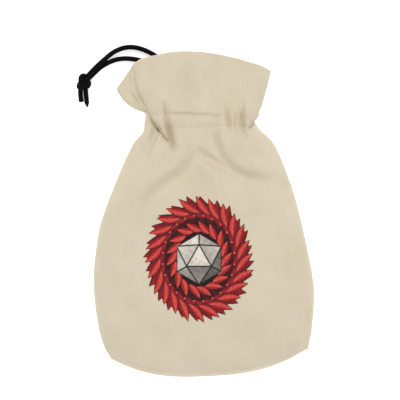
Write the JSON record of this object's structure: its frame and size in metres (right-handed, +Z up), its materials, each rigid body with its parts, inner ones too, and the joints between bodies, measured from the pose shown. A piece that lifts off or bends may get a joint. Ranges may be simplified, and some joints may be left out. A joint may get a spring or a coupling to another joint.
{
  "type": "drawstring dice bag",
  "caption": "Soft cotton drawstring pouch lying flat, with a gathered neck, a fanned header, a dark cord ending in a knot and a printed emblem on the front.",
  "frame": {"origin": "under the middle of the bag, on the surface it lies on, with the free drawstring left out", "axes": "+X across the bag to the right seam, +Y from the bottom seam to the mouth, +Z up from the surface through the front panel"},
  "size_m": [0.1195, 0.1671, 0.0187],
  "materials": {
    "cotton": "matte",
    "thread": "matte",
    "print": "matte",
    "cord": "matte"
  },
  "bodies": {
    "bag": {"front_panel": "cotton", "back_panel": "cotton", "front_facing": "cotton", "back_facing": "cotton", "bottom_seam_allowance": "cotton", "bottom_seam_stitching": "thread", "front_tunnel_stitching_lower": "thread", "front_tunnel_stitching_upper": "thread", "back_tunnel_stitching_lower": "thread", "back_tunnel_stitching_upper": "thread", "slit_binding": "thread", "printed_emblem": "print", "tunnel_cord": "cord"},
    "left_side": {"left_seam_allowance": "cotton", "left_seam_stitching": "thread"},
    "right_side": {"right_seam_allowance": "cotton", "right_seam_stitching": "thread"},
    "drawstring": {"outer_leg": "cord", "inner_leg": "cord", "stopper_knot": "cord", "short_tail": "cord", "long_tail": "cord"}
  },
  "joints": [
    {"name": "drawstring_pull", "type": "slide", "parent": "bag", "child": "drawstring", "axis": [-0.6, 0.8, 0], "range_m": [0, 0.026], "deforming": ["front_panel", "back_panel", "front_facing", "back_facing", "front_tunnel_stitching_lower", "front_tunnel_stitching_upper", "back_tunnel_stitching_lower", "back_tunnel_stitching_upper", "slit_binding", "tunnel_cord", "outer_leg", "inner_leg"]},
    {"name": "left_side_draws_in", "type": "hinge", "parent": "bag", "child": "left_side", "pos_m": [-0.0465, -0.0717, 0.005], "axis": [0, 0, -1], "range_deg": [0, 6.25]},
    {"name": "right_side_draws_in", "type": "hinge", "parent": "bag", "child": "right_side", "pos_m": [0.0526, -0.0664, 0.005], "axis": [0, 0, 1], "range_deg": [0, 6.56]}
  ],
  "couplings": [
    {"joint": "left_side_draws_in", "follows": "drawstring_pull", "rad_per_m": 4.1841},
    {"joint": "right_side_draws_in", "follows": "drawstring_pull", "rad_per_m": 4.3898}
  ]
}
